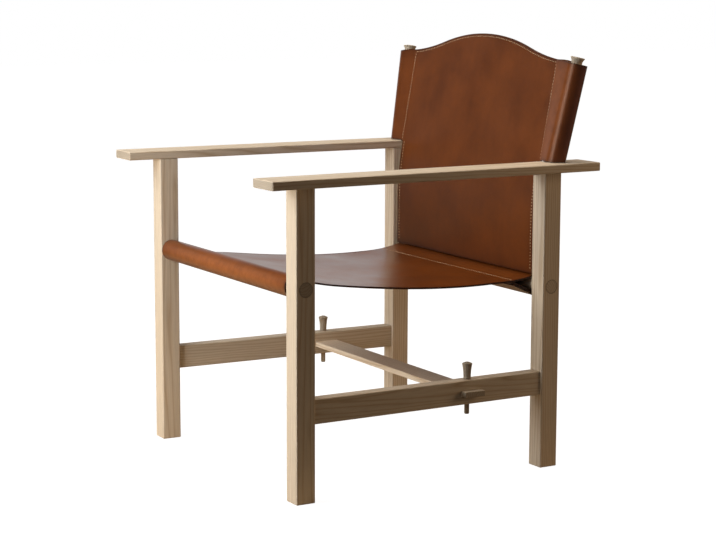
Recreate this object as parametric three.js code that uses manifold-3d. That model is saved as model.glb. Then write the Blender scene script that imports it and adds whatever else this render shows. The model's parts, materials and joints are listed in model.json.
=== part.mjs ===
// Leather sling lounge chair: two timber side frames, held apart by two round seat rails and a pegged
// cross stretcher, with a thick hide slung between the rails and a double hide on two turned back posts.
// Millimetres, +Z up, floor at Z = 0. The sitter faces -Y, so the sitter's left is +X.

import * as THREE from 'three';
import { mergeVertices } from 'three/addons/utils/BufferGeometryUtils.js';
import Module from 'manifold-3d';

// Side frames
const armTop = 560;
const armThickness = 15.5;
const armWidth = 69;
const armOverhang = 62;
const legSize = 36.5;
const legPitch = 510;
const frameSpan = 574;
const frameToe = 1.1;
const stretcherTop = 179.5;
const stretcherHeight = 43.5;
const stretcherThickness = 26;
const easedEdge = 2;
const stubLength = 9;
const stubShoulder = 7;

// Seat rails
const railDiameter = 32;
const railTenon = 26;
const frontRailHeight = 370.5;
const rearRailHeight = 335;

// Cross stretcher and its pegs
const barWidth = 48;
const barThickness = 10;
const barTenonWidth = 41;
const barTop = 161.5;
const barSetback = 85;
const barProud = 15;
const pegShank = 9;
const pegNeck = 13;
const pegHead = 18.5;
const pegHeadHeight = 31;
const pegTail = 20;

// Back posts
const postDiameter = 29;
const postTenon = 16;
const postTenonDepth = 46;
const postRise = 188;
const postRake = 10.4;
const postSplay = 5.7;
const postOut = 6;
const postBack = 10;
const headDiameter = 26.5;
const waistDiameter = 20;

// Leather
const hide = 3.2;
const loopSlack = 0.5;
const seamReach = 37;
const seatLeave = 38;
const seatRise = 22.5;
const seatClear = 3;
const seatWaist = 21;
const seatRearInset = 6;
const backClear = 5.6;
const backAhead = 15.3;
const backBeforePost = 11.5;
const stitchInset = 22;
const sleeveSlack = 1.8;
const sleeveLift = 1.5;
const rimDrop = 4;
const headStand = 13;
const archRise = 41;

// Fits
const fit = 0.3;
const layerGap = 0.4;

const wasm = await Module();
wasm.setup();

const rad = THREE.MathUtils.degToRad;
const legHeight = armTop - armThickness;
const frontY = -legPitch / 2;
const rearY = legPitch / 2;
const vec = (x, y, z) => new THREE.Vector3(x, y, z);
const flat = (x, y) => new THREE.Vector2(x, y);

// Solids: a three.js geometry becomes a closed solid for cutting and joining, and comes back as a geometry.
function solid(geometry) {
  const bare = geometry.clone();
  bare.deleteAttribute('normal');
  bare.deleteAttribute('uv');
  const merged = mergeVertices(bare, 1e-3);
  const at = merged.attributes.position.array;
  const index = merged.index.array;
  const faces = [];
  let volume = 0;
  for (let i = 0; i < index.length; i += 3) {
    const [a, b, c] = [index[i], index[i + 1], index[i + 2]];
    if (a === b || b === c || a === c) continue;
    faces.push(a, b, c);
    const p = new THREE.Vector3().fromArray(at, 3 * a);
    const q = new THREE.Vector3().fromArray(at, 3 * b);
    const r = new THREE.Vector3().fromArray(at, 3 * c);
    volume += p.dot(q.cross(r));
  }
  if (volume < 0) faces.reverse();
  return new wasm.Manifold(new wasm.Mesh({
    numProp: 3,
    vertProperties: Float32Array.from(at),
    triVerts: Uint32Array.from(faces),
  }));
}

function geometryOf(body) {
  const raw = body.getMesh();
  const geometry = new THREE.BufferGeometry();
  geometry.setAttribute('position', new THREE.BufferAttribute(Float32Array.from(raw.vertProperties), 3));
  geometry.setIndex(new THREE.BufferAttribute(Uint32Array.from(raw.triVerts), 1));
  const faceted = geometry.toNonIndexed();
  faceted.computeVertexNormals();
  return faceted;
}

// A prism of a flat outline, extruded along X, Y or Z from one coordinate to another.
function prism(outline, axis, from, to, bevel = 0) {
  const geometry = new THREE.ExtrudeGeometry(outline, {
    depth: to - from - 2 * bevel,
    steps: 1,
    curveSegments: 4,
    bevelEnabled: bevel > 0,
    bevelThickness: bevel,
    bevelSize: bevel,
    bevelOffset: -bevel,
    bevelSegments: 1,
  });
  geometry.translate(0, 0, from + bevel);
  const turn = new THREE.Matrix4();
  if (axis === 'x') turn.set(0, 0, 1, 0, 1, 0, 0, 0, 0, 1, 0, 0, 0, 0, 0, 1);
  if (axis === 'y') turn.set(1, 0, 0, 0, 0, 0, 1, 0, 0, 1, 0, 0, 0, 0, 0, 1);
  geometry.applyMatrix4(turn);
  return geometry;
}

function easedRectangle(x0, x1, y0, y1, radius) {
  const outline = new THREE.Shape();
  outline.moveTo(x0 + radius, y0);
  outline.lineTo(x1 - radius, y0);
  outline.absarc(x1 - radius, y0 + radius, radius, -Math.PI / 2, 0);
  outline.lineTo(x1, y1 - radius);
  outline.absarc(x1 - radius, y1 - radius, radius, 0, Math.PI / 2);
  outline.lineTo(x0 + radius, y1);
  outline.absarc(x0 + radius, y1 - radius, radius, Math.PI / 2, Math.PI);
  outline.lineTo(x0, y0 + radius);
  outline.absarc(x0 + radius, y0 + radius, radius, Math.PI, 1.5 * Math.PI);
  return outline;
}

function box(x0, x1, y0, y1, z0, z1) {
  const geometry = new THREE.BoxGeometry(x1 - x0, y1 - y0, z1 - z0);
  return geometry.translate((x0 + x1) / 2, (y0 + y1) / 2, (z0 + z1) / 2);
}

// A turned piece: its profile of (radius, distance) pairs runs along a unit direction from a start point.
function turned(profile, start, direction, sides) {
  const geometry = new THREE.LatheGeometry(profile, sides);
  const turn = new THREE.Quaternion().setFromUnitVectors(vec(0, 1, 0), direction);
  return geometry.applyQuaternion(turn).translate(start.x, start.y, start.z);
}

function rod(radius, start, end, sides) {
  const run = end.clone().sub(start);
  const length = run.length();
  const profile = [flat(0, 0), flat(radius, 0), flat(radius, length), flat(0, length)];
  return turned(profile, start, run.normalize(), sides);
}

// Materials
const ash = (colour) => new THREE.MeshStandardMaterial({ color: colour, roughness: 0.62, metalness: 0 });
const paleAsh = '#d9c3a0';
const leather = () => new THREE.MeshStandardMaterial({ color: '#7d4526', roughness: 0.42, metalness: 0 });

// Each side frame stands in its own group, turned a little in plan so that the chair narrows to the rear.
// In the group, X = 0 is the outer face of the legs.
function frameGroup(side) {
  const group = new THREE.Group();
  group.position.set(side * frameSpan / 2, 0, 0);
  group.rotation.z = side * rad(frameToe);
  group.updateMatrixWorld(true);
  return group;
}

const leftFrame = frameGroup(1);
const rightFrame = frameGroup(-1);
const framePoint = (frame, x, y, z) => vec(x, y, z).applyMatrix4(frame.matrixWorld);
const inFrame = (frame, geometry) => geometry.clone().applyMatrix4(frame.matrixWorld.clone().invert());

// Half width between the legs' inner faces, or over their outer faces, at a given depth.
const slope = Math.tan(rad(frameToe));
const outerHalf = (y) => frameSpan / 2 - y * slope;
const innerHalf = (y) => frameSpan / 2 - legSize / Math.cos(rad(frameToe)) - y * slope;

// Back post axis on the left; the right post is its mirror image.
const legCentre = framePoint(leftFrame, -legSize / 2, rearY, armTop);
const postFoot = vec(legCentre.x + postOut, legCentre.y + postBack, armTop);
const postAim = vec(Math.tan(rad(postSplay)), Math.tan(rad(postRake)), 1);
const postAt = (z) => postFoot.clone().addScaledVector(postAim, z - armTop);
const mirrored = (side, p) => vec(side * p.x, p.y, p.z);

// Rails as plain rods, wider than the chair; pieces round them are bored with the same rods.
const railAxis = { front: [frontY, frontRailHeight], rear: [rearY, rearRailHeight] };
function railRod(which, radius, half) {
  const [y, z] = railAxis[which];
  return rod(radius, vec(-half, y, z), vec(half, y, z), 40);
}

// Plan between two planes that lean with the side frames, as a tall prism.
function between(half, inset) {
  const reach = legPitch;
  const front = half(-reach) - inset;
  const rear = half(reach) - inset;
  const plan = new THREE.Shape([flat(-front, -reach), flat(front, -reach), flat(rear, reach), flat(-rear, reach)]);
  return prism(plan, 'z', 0, 2 * armTop);
}

const postHole = (side) => {
  const low = mirrored(side, postAt(armTop - postTenonDepth - 4));
  const high = mirrored(side, postAt(armTop + 40));
  return rod(postTenon / 2 + fit, low, high, 24);
};

const barY = barSetback;
const barMiddle = barTop - barThickness / 2;
const stretcherMiddle = -legSize / 2;
const pegFoot = (side) => {
  const frame = side > 0 ? leftFrame : rightFrame;
  const near = framePoint(frame, side * stretcherMiddle, barY, 0);
  return vec(near.x, barY, 0);
};

function sideFrame(side) {
  const frame = side > 0 ? leftFrame : rightFrame;
  const hand = side > 0 ? 'left' : 'right';
  const acrossX = (x0, x1) => (side > 0 ? [x0, x1] : [-x1, -x0]);
  const place = (name, body) => {
    const piece = new THREE.Mesh(geometryOf(body), ash(paleAsh));
    piece.name = `${hand}_${name}`;
    frame.add(piece);
  };
  const [legX0, legX1] = acrossX(-legSize, 0);
  const [stubX0, stubX1] = acrossX(-legSize + stubShoulder, -stubShoulder);
  const [barX0, barX1] = acrossX(stretcherMiddle - stretcherThickness / 2, stretcherMiddle + stretcherThickness / 2);
  const stubDepth = legSize / 2;
  const stubZ0 = stretcherTop - stretcherHeight + stubShoulder;
  const stubZ1 = stretcherTop - stubShoulder;
  const tongue = stretcherThickness / 4;
  const tongueX = [side * stretcherMiddle - tongue, side * stretcherMiddle + tongue];

  // Legs: square, eased along the edges and at the foot, with a stub tenon into the armrest.
  for (const [name, y, which] of [['front_leg', frontY, 'front'], ['rear_leg', rearY, 'rear']]) {
    const section = easedRectangle(legX0, legX1, y - legSize / 2, y + legSize / 2, easedEdge);
    let leg = solid(prism(section, 'z', 0, legHeight + 3, easedEdge / 2));
    leg = leg.subtract(solid(box(legX0 - 5, legX1 + 5, y - legSize, y + legSize, legHeight - fit, legHeight + 10)));
    const stub = box(stubX0, stubX1, y - legSize / 2 + stubShoulder, y + legSize / 2 - stubShoulder,
      legHeight - 2, legHeight + stubLength - fit);
    leg = leg.add(solid(stub));
    leg = leg.subtract(solid(inFrame(frame, railRod(which, railTenon / 2 + fit, frameSpan))));
    const inward = which === 'front' ? 1 : -1;
    const mouth = y + inward * legSize / 2;
    const blind = mouth - inward * stubDepth;
    const [my0, my1] = [Math.min(mouth + inward, blind), Math.max(mouth + inward, blind)];
    leg = leg.subtract(solid(box(tongueX[0] - fit, tongueX[1] + fit, my0, my1, stubZ0 - fit, stubZ1 + fit)));
    if (which === 'rear') leg = leg.subtract(solid(inFrame(frame, postHole(side))));
    place(name, leg);
  }

  // Armrest: a flat board, flush with the legs' inner faces, mortised underneath for the stub tenons.
  const [armX0, armX1] = acrossX(-legSize, armWidth - legSize);
  const armSection = easedRectangle(armX0, armX1, legHeight, armTop, easedEdge);
  const armEnd = legPitch / 2 + legSize / 2 + armOverhang;
  let arm = solid(prism(armSection, 'y', -armEnd, armEnd, easedEdge / 2));
  for (const y of [frontY, rearY]) {
    arm = arm.subtract(solid(box(stubX0 - fit, stubX1 + fit, y - legSize / 2 + stubShoulder - fit,
      y + legSize / 2 - stubShoulder + fit, legHeight - 5, legHeight + stubLength)));
  }
  arm = arm.subtract(solid(inFrame(frame, postHole(side))));
  place('armrest', arm);

  // Side stretcher: set between the legs on stub tenons, slotted for the bar and bored for its peg.
  const stretcherSection = easedRectangle(barX0, barX1, stretcherTop - stretcherHeight, stretcherTop, easedEdge);
  const reach = legPitch / 2 - legSize / 2;
  let stretcher = solid(prism(stretcherSection, 'y', -reach + fit, reach - fit));
  stretcher = stretcher.add(solid(box(tongueX[0], tongueX[1], -reach - stubDepth + 2 * fit, reach + stubDepth - 2 * fit,
    stubZ0, stubZ1)));
  stretcher = stretcher.subtract(solid(inFrame(frame, barSlot())));
  stretcher = stretcher.subtract(solid(inFrame(frame, pegHole(side))));
  place('side_stretcher', stretcher);
  return frame;
}

function barSlot() {
  return box(-frameSpan, frameSpan, barY - barTenonWidth / 2 - fit, barY + barTenonWidth / 2 + fit,
    barMiddle - barThickness / 2 - fit, barMiddle + barThickness / 2 + fit);
}

function pegHole(side) {
  const foot = pegFoot(side);
  return rod(pegShank / 2 + fit, vec(foot.x, foot.y, 0), vec(foot.x, foot.y, stretcherTop + 20), 24);
}

// Seat rails: a shoulder at the legs' inner faces, and round tenons that end flush with the outer faces.
function seatRail(which) {
  const barrel = solid(railRod(which, railDiameter / 2, frameSpan)).intersect(solid(between(innerHalf, fit)));
  const tenons = solid(railRod(which, railTenon / 2, frameSpan)).intersect(solid(between(outerHalf, 0)));
  const rail = new THREE.Mesh(geometryOf(barrel.add(tenons)), ash(paleAsh));
  rail.name = `${which}_seat_rail`;
  return rail;
}

// Cross stretcher: a flat bar shouldered against both side stretchers, with narrower tenons that pass through
// them and are bored for the pegs.
function crossStretcher() {
  const setIn = (legSize - stretcherThickness) / 2;
  const end = outerHalf(barY) - setIn + barProud;
  const length = (width, half, bevel) => prism(easedRectangle(barY - width / 2, barY + width / 2,
    barMiddle - barThickness / 2, barMiddle + barThickness / 2, easedEdge / 2), 'x', -half, half, bevel);
  const shoulders = between(outerHalf, setIn + stretcherThickness + fit);
  let bar = solid(length(barWidth, end, 0)).intersect(solid(shoulders));
  bar = bar.add(solid(length(barTenonWidth, end, easedEdge / 4)));
  for (const side of [1, -1]) bar = bar.subtract(solid(pegHole(side)));
  const piece = new THREE.Mesh(geometryOf(bar), ash(paleAsh));
  piece.name = 'cross_stretcher';
  return piece;
}

// Locking peg: a straight shank, and a head that flares upward from its shoulder to a low dome.
function lockingPeg(side) {
  const shoulder = stretcherTop + fit;
  const bottom = stretcherTop - stretcherHeight - pegTail;
  const top = shoulder + pegHeadHeight;
  const flare = new THREE.QuadraticBezierCurve(
    flat(pegNeck / 2, shoulder),
    flat(pegNeck / 2 + 0.4, shoulder + 0.6 * pegHeadHeight),
    flat(pegHead / 2, top - 0.13 * pegHeadHeight),
  );
  const dome = new THREE.QuadraticBezierCurve(
    flat(pegHead / 2, top - 0.1 * pegHeadHeight),
    flat(pegHead / 4, top),
    flat(0, top),
  );
  const profile = [flat(0, bottom), flat(pegShank / 2 - 0.8, bottom), flat(pegShank / 2, bottom + 1)];
  profile.push(flat(pegShank / 2, shoulder), ...flare.getPoints(6), ...dome.getPoints(4));
  const foot = pegFoot(side);
  const piece = new THREE.Mesh(turned(profile, vec(0, 0, 0), vec(0, 1, 0), 20), ash(paleAsh));
  piece.geometry = geometryOf(solid(piece.geometry));
  piece.name = `${side > 0 ? 'left' : 'right'}_locking_peg`;
  piece.position.set(foot.x, foot.y, 0);
  piece.rotation.x = Math.PI / 2;
  return piece;
}

// Back post: a round body with a shoulder cut flat to the armrest, a slimmer tenon that runs on into the leg,
// and a head that flares to a thin rim over a straight neck.
function backPost(side) {
  const foot = mirrored(side, postAt(armTop - 12));
  const top = mirrored(side, postAt(armTop + postRise));
  const along = top.clone().sub(foot);
  const length = along.length();
  along.normalize();
  const waist = new THREE.SplineCurve([
    flat(postDiameter / 2, length - 1.6 * headStand),
    flat(waistDiameter / 2 + 0.6, length - 1.15 * headStand),
    flat(waistDiameter / 2, length - 0.75 * headStand),
    flat(waistDiameter / 2 + 0.5, length - 0.46 * headStand),
    flat(headDiameter / 2 - 0.9, length - 0.2 * headStand),
    flat(headDiameter / 2, length - 0.11 * headStand),
  ]);
  const profile = [flat(0, 0), flat(postDiameter / 2, 0), ...waist.getPoints(11)];
  profile.push(flat(headDiameter / 2 - 0.6, length - 0.4), flat(headDiameter / 2 - 2.5, length), flat(0, length));
  let post = solid(turned(profile, foot, along, 24));
  post = post.subtract(solid(box(-frameSpan, frameSpan, 0, 2 * rearY, 0, armTop + fit)));
  const tip = mirrored(side, postAt(armTop - postTenonDepth));
  post = post.add(solid(rod(postTenon / 2, tip, mirrored(side, postAt(armTop + 15)), 24)));
  const piece = new THREE.Mesh(geometryOf(post), ash(paleAsh));
  piece.name = `${side > 0 ? 'left' : 'right'}_back_post`;
  return piece;
}

// Flat helpers for the leather's side profile, in (y, z).
const onCircle = (c, r, degrees) => flat(c.x + r * Math.cos(rad(degrees)), c.y + r * Math.sin(rad(degrees)));
const headingOf = (c, p) => THREE.MathUtils.radToDeg(Math.atan2(p.y - c.y, p.x - c.x));

function arc(c, r, from, to, steps) {
  const points = [];
  for (let i = 0; i <= steps; i++) points.push(onCircle(c, r, from + (to - from) * i / steps));
  return points;
}

// Where the two lines from a point touch a circle, as headings seen from the circle's centre.
function touches(c, r, p) {
  const spread = THREE.MathUtils.radToDeg(Math.acos(r / c.distanceTo(p)));
  const heading = headingOf(c, p);
  return [heading - spread, heading + spread];
}

const frontAxis = flat(...railAxis.front);
const rearAxis = flat(...railAxis.rear);
const boreRadius = railDiameter / 2 + loopSlack;
const rollRadius = boreRadius + hide;

// The seat's upper surface leaves the front roll downward, sags, and climbs onto the rear roll.
function seatCurve(lift) {
  const from = onCircle(frontAxis, rollRadius + lift, 90 - seatLeave);
  const to = onCircle(rearAxis, rollRadius + lift, 90 + seatRise);
  const fall = flat(Math.cos(rad(seatLeave)), -Math.sin(rad(seatLeave))).multiplyScalar(0.11 * legPitch);
  const climb = flat(Math.cos(rad(seatRise)), Math.sin(rad(seatRise))).multiplyScalar(0.15 * legPitch);
  return new THREE.CubicBezierCurve(from, from.clone().add(fall), to.clone().sub(climb), to);
}

// The point of a curve at a given depth.
function atDepth(curve, y) {
  let [low, high] = [0, 1];
  for (let i = 0; i < 40; i++) {
    const middle = (low + high) / 2;
    if (curve.getPoint(middle).x < y) low = middle;
    else high = middle;
  }
  return [curve.getPoint(low), low];
}

// The rear seam's point on the seat's underside, and the heading at which its lower layer meets the rear roll.
const underside = seatCurve(-hide);
const [rearSeam, rearSeamAt] = atDepth(underside, rearY - seamReach);
const [frontSeam, frontSeamAt] = atDepth(underside, frontY + seamReach);
const rearTouch = touches(rearAxis, rollRadius, rearSeam)[1] - 360;
const frontTouch = touches(frontAxis, rollRadius, frontSeam)[0];

// The hollow of a loop: round its rail, closing to a point where the two layers are sewn together.
function loopHollow(c, seam, inner) {
  const tip = seam.clone().lerp(inner, hide * 1.5 / seam.distanceTo(inner));
  const [first, second] = touches(c, boreRadius, tip);
  const round = arc(c, boreRadius, second, first + 360, 20);
  return new THREE.Path([tip, ...round]);
}

// Seat: one hide from seam to seam, with a loop round each rail, trimmed to a plan that is drawn in between them.
function seatLeather() {
  const top = seatCurve(0);
  const outline = [
    ...top.getPoints(22),
    ...arc(rearAxis, rollRadius, 90 + seatRise, rearTouch, 20).slice(1),
  ];
  for (let i = 0; i <= 16; i++) outline.push(underside.getPoint(rearSeamAt + (frontSeamAt - rearSeamAt) * i / 16));
  outline.push(...arc(frontAxis, rollRadius, frontTouch, 90 - seatLeave - 360, 20).slice(0, -1));
  const profile = new THREE.Shape(outline);
  profile.holes.push(loopHollow(rearAxis, rearSeam, rearAxis));
  profile.holes.push(loopHollow(frontAxis, frontSeam, frontAxis));
  const frontHalf = innerHalf(frontY + legSize / 2) - seatClear;
  const middleHalf = frontHalf - seatWaist;
  const rearHalf = innerHalf(rearY) - seatRearInset;
  const halfAt = (y) => {
    const front = 1 - THREE.MathUtils.smoothstep(y, frontY + rollRadius, frontY + 0.28 * legPitch);
    const rear = THREE.MathUtils.smoothstep(y, rearY - 0.2 * legPitch, rearY - rollRadius);
    return middleHalf + (frontHalf - middleHalf) * front + (rearHalf - middleHalf) * rear;
  };
  const ends = legPitch / 2 + 2 * rollRadius;
  const side = [];
  for (let i = 0; i <= 28; i++) {
    const y = -ends + 2 * ends * i / 28;
    side.push(flat(halfAt(y), y));
  }
  const plan = new THREE.Shape([...side, ...side.map((p) => flat(-p.x, p.y)).reverse()]);
  const body = solid(prism(profile, 'x', -frameSpan / 2, frameSpan / 2)).intersect(solid(prism(plan, 'z', 0, armTop)));
  const piece = new THREE.Mesh(geometryOf(body), leather());
  piece.name = 'seat_leather';
  return piece;
}

// Back, side profile: a double hide that hangs from the posts at their rake and stands upright behind the sitter;
// its front layer ends on the seat's rear roll and its rear layer runs on round that roll to the seam below.
const rakeSlope = Math.tan(rad(postRake));
const splaySlope = Math.tan(rad(postSplay));
const backThickness = 2 * hide;
const backFoot = rearY - backAhead;
const backAtArm = postFoot.y - backBeforePost;
const sleeveTop = armTop + postRise - headStand * 0.6;
const sleeveBottom = armTop + sleeveLift;
const tailRadius = rollRadius + layerGap;

function backFace(offset, low) {
  const span = armTop - low;
  const lower = new THREE.CubicBezierCurve(
    flat(backFoot + offset, low),
    flat(backFoot + offset, low + 0.45 * span),
    flat(backAtArm + offset - rakeSlope * 0.35 * span, armTop - 0.35 * span),
    flat(backAtArm + offset, armTop),
  );
  const high = sleeveTop + 2 * archRise;
  const upper = flat(backAtArm + offset + rakeSlope * (high - armTop), high);
  return [...lower.getPoints(10), upper];
}

// A layer's edge that swings back from the panel onto a circle round the rear rail.
function tailEdge(offset, radius, from) {
  const to = onCircle(rearAxis, radius, 25);
  const heading = flat(Math.sin(rad(25)), -Math.cos(rad(25)));
  const swing = 0.4 * (from - to.y);
  const curve = new THREE.CubicBezierCurve(
    flat(backFoot + offset, from),
    flat(backFoot + offset, from - swing),
    to.clone().addScaledVector(heading, -swing),
    to,
  );
  return curve.getPoints(8);
}

function backOutline() {
  const forkTop = rearRailHeight + 2.2 * rollRadius;
  const ledge = seatCurve(layerGap);
  const frontFoot = atDepth(ledge, backFoot)[0];
  const rearFoot = atDepth(ledge, backFoot + hide)[0];
  const seamRun = rearSeam.clone().sub(onCircle(rearAxis, rollRadius, rearTouch)).multiplyScalar(0.96);
  const tailEnd = (radius) => onCircle(rearAxis, radius, rearTouch).add(seamRun);
  return [
    ...backFace(0, frontFoot.y).reverse(),
    rearFoot,
    ...tailEdge(hide, tailRadius, forkTop),
    ...arc(rearAxis, tailRadius, 25, rearTouch, 18).slice(1),
    tailEnd(tailRadius),
    tailEnd(tailRadius + hide),
    ...arc(rearAxis, tailRadius + hide, rearTouch, 25, 18),
    ...tailEdge(backThickness, tailRadius + hide, forkTop + 2 * hide).reverse().slice(1),
    ...backFace(backThickness, forkTop + 3 * hide).slice(1),
  ];
}

// Front view of the panel: straight sides that pass between the legs and armrests, and an ogee top of two equal
// tangent arcs on each side, level where it reaches the posts.
function backFront() {
  const lowHalf = innerHalf(rearY) - backClear;
  const highHalf = postAt(sleeveTop).x;
  const quarter = flat(highHalf / 2, archRise / 2);
  const bend = quarter.lengthSq() / (2 * quarter.y);
  const sweep = Math.asin(quarter.x / bend);
  const half = [];
  for (let i = 0; i <= 10; i++) {
    const turn = sweep * i / 10;
    half.push(flat(bend * Math.sin(turn), sleeveTop + archRise - bend * (1 - Math.cos(turn))));
  }
  for (let i = 9; i >= 0; i--) {
    const turn = sweep * i / 10;
    half.push(flat(highHalf - bend * Math.sin(turn), sleeveTop + bend * (1 - Math.cos(turn))));
  }
  const inner = half.filter((p) => p.x < stitchX);
  inner.push(flat(stitchX, sleeveTop + bend - Math.sqrt(bend * bend - (highHalf - stitchX) ** 2)));
  inner.push(flat(stitchX, sleeveBottom), flat(lowHalf, sleeveBottom), flat(lowHalf, 0));
  const left = inner.slice(1).map((p) => flat(-p.x, p.y)).reverse();
  return new THREE.Shape([...left, ...inner]);
}

// Sleeves: the hide runs from the stitching round the front of the post and back to the stitching behind it. Each
// level is a round end on the post's axis drawn to the panel's two faces; levels below and above are joined. The
// rim is cut square to the post, a little below the foot of the arch.
const stitchX = legCentre.x - stitchInset;
const sleeveBore = postDiameter / 2 + sleeveSlack;

function sleeveLevel(z, radius, inset) {
  const centre = postAt(z);
  const c = flat(centre.x, centre.y);
  const face = centre.y - backBeforePost;
  const front = flat(stitchX + 2.2 * inset, face + 1.02 * inset);
  const rear = flat(stitchX + 2.2 * inset, face + backThickness - 1.02 * inset);
  const frontTouch = touches(c, radius, front)[1];
  const rearTouch = touches(c, radius, rear)[0] + 360;
  const steps = 14;
  const ring = [rear, front];
  for (let i = 0; i <= steps; i++) {
    ring.push(onCircle(c, radius, frontTouch + (rearTouch - frontTouch) * i / steps));
  }
  return ring;
}

function sleeve(side, radius, inset, low, high) {
  const levels = [low, (low + high) / 2, high].map((z) => sleeveLevel(z, radius, inset).map((p) => {
    const centre = postAt(z);
    const tilt = (p.y - centre.y) * rakeSlope + (p.x - centre.x) * splaySlope;
    const drop = z === high && inset === 0 ? rimDrop + tilt : 0;
    return vec(side * p.x, p.y, z - drop);
  }));
  const count = levels[0].length;
  const points = levels.flat();
  const faces = [];
  for (let k = 0; k + 1 < levels.length; k++) {
    for (let i = 0; i < count; i++) {
      const [a, b] = [k * count + i, k * count + (i + 1) % count];
      faces.push(a, b, b + count, a, b + count, a + count);
    }
  }
  for (let i = 1; i + 1 < count; i++) {
    const roof = (levels.length - 1) * count;
    faces.push(0, i + 1, i, roof, roof + i, roof + i + 1);
  }
  const geometry = new THREE.BufferGeometry().setFromPoints(points);
  geometry.setIndex(faces);
  return geometry;
}

function backLeather() {
  let body = solid(prism(new THREE.Shape(backOutline()), 'x', -frameSpan / 2, frameSpan / 2));
  body = body.intersect(solid(prism(backFront(), 'y', 0, 2 * rearY)));
  for (const side of [1, -1]) {
    body = body.add(solid(sleeve(side, sleeveBore + hide, 0, sleeveBottom, sleeveTop)));
    body = body.subtract(solid(sleeve(side, sleeveBore, hide, sleeveBottom - 20, sleeveTop + 40)));
  }
  const piece = new THREE.Mesh(geometryOf(body), leather());
  piece.name = 'back_leather';
  return piece;
}

const chair = new THREE.Group();
chair.add(sideFrame(1), sideFrame(-1));
chair.add(seatRail('front'), seatRail('rear'), crossStretcher());
chair.add(lockingPeg(1), lockingPeg(-1), backPost(1), backPost(-1));
chair.add(seatLeather(), backLeather());

export default chair;
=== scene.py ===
import json
import math

import bpy
import numpy as np
from mathutils import Euler, Matrix, Vector


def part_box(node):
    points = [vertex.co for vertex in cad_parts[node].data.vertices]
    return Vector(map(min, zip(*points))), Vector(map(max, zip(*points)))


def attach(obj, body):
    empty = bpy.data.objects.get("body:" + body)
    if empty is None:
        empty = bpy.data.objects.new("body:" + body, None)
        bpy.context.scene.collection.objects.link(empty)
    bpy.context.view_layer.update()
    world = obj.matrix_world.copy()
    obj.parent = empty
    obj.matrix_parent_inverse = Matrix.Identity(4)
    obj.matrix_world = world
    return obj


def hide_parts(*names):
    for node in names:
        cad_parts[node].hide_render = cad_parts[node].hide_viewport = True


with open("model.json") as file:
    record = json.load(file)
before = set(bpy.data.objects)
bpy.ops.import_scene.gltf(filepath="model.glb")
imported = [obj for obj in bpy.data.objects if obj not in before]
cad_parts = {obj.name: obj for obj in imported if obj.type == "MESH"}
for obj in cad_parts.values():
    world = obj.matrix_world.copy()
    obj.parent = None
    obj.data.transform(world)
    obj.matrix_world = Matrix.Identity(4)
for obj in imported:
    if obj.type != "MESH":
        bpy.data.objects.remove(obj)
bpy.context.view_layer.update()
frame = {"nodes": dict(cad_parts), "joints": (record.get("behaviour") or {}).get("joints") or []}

# Sling lounge chair: soaped ash frame, saddle leather seat and back.
# Leather shapes are worked out in millimetres in the frame's axes (+Z up, sitter faces -Y).
scene = bpy.context.scene
mm = 0.001
perMetre = 1000


def linear(hexColour):
    channels = [int(hexColour[i:i + 2], 16) / 255 for i in (1, 3, 5)]
    return [c / 12.92 if c <= 0.04045 else ((c + 0.055) / 1.055) ** 2.4 for c in channels] + [1]


# settings go to a node's own values where it has them, else to the input of that name or number;
# a link comes from a node's first output, or is (node, output)
def addNode(tree, kind, settings=None, links=None):
    made = tree.nodes.new("ShaderNode" + kind)
    for key, value in (settings or {}).items():
        if key == "stops":
            ramp = made.color_ramp.elements
            while len(ramp) < len(value):
                ramp.new(0.5)
            for stop, (place, colour) in zip(ramp, value):
                stop.position = place
                stop.color = linear(colour) if isinstance(colour, str) else (colour, colour, colour, 1)
        elif isinstance(key, str) and hasattr(made, key):
            setattr(made, key, value)
        else:
            made.inputs[key].default_value = linear(value) if isinstance(value, str) else value
    for socket, source in (links or {}).items():
        node, output = source if isinstance(source, tuple) else (source, 0)
        tree.links.new(node.outputs[output], made.inputs[socket])
    return made


def newMaterial(name):
    made = bpy.data.materials.new(name)
    made.use_nodes = True
    made.node_tree.nodes.clear()
    return made, made.node_tree, addNode(made.node_tree, "TexCoord")


smooth = {"interpolation_type": "SMOOTHSTEP"}   # eases a map range in and out


# Camera, lamps and floor
view = {
    "place": (3.1503, -1.7916, 0.9065),
    "turn": 60.1984,      # degrees round the chair from straight in front
    "down": 8.7869,
    "roll": 0.1744,
    "lensPixels": 1961.25,
    "framePixels": 716,
    "sensor": 36.0,
}


def placeCamera():
    a, e, r = (math.radians(view[k]) for k in ("turn", "down", "roll"))
    right = Vector((math.cos(a), math.sin(a), 0))
    ahead = Vector((-math.sin(a) * math.cos(e), math.cos(a) * math.cos(e), -math.sin(e)))
    up = right.cross(ahead)
    rolledRight = right * math.cos(r) + up * math.sin(r)
    rolledUp = up * math.cos(r) - right * math.sin(r)
    data = bpy.data.cameras.new("camera")
    data.sensor_fit = "HORIZONTAL"
    data.sensor_width = view["sensor"]
    data.lens = view["lensPixels"] * view["sensor"] / view["framePixels"]
    data.clip_end = 100
    camera = bpy.data.objects.new("camera", data)
    turn = Matrix((rolledRight, rolledUp, -ahead)).transposed()
    camera.matrix_world = Matrix.Translation(view["place"]) @ turn.to_4x4()
    scene.collection.objects.link(camera)
    scene.camera = camera


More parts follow.
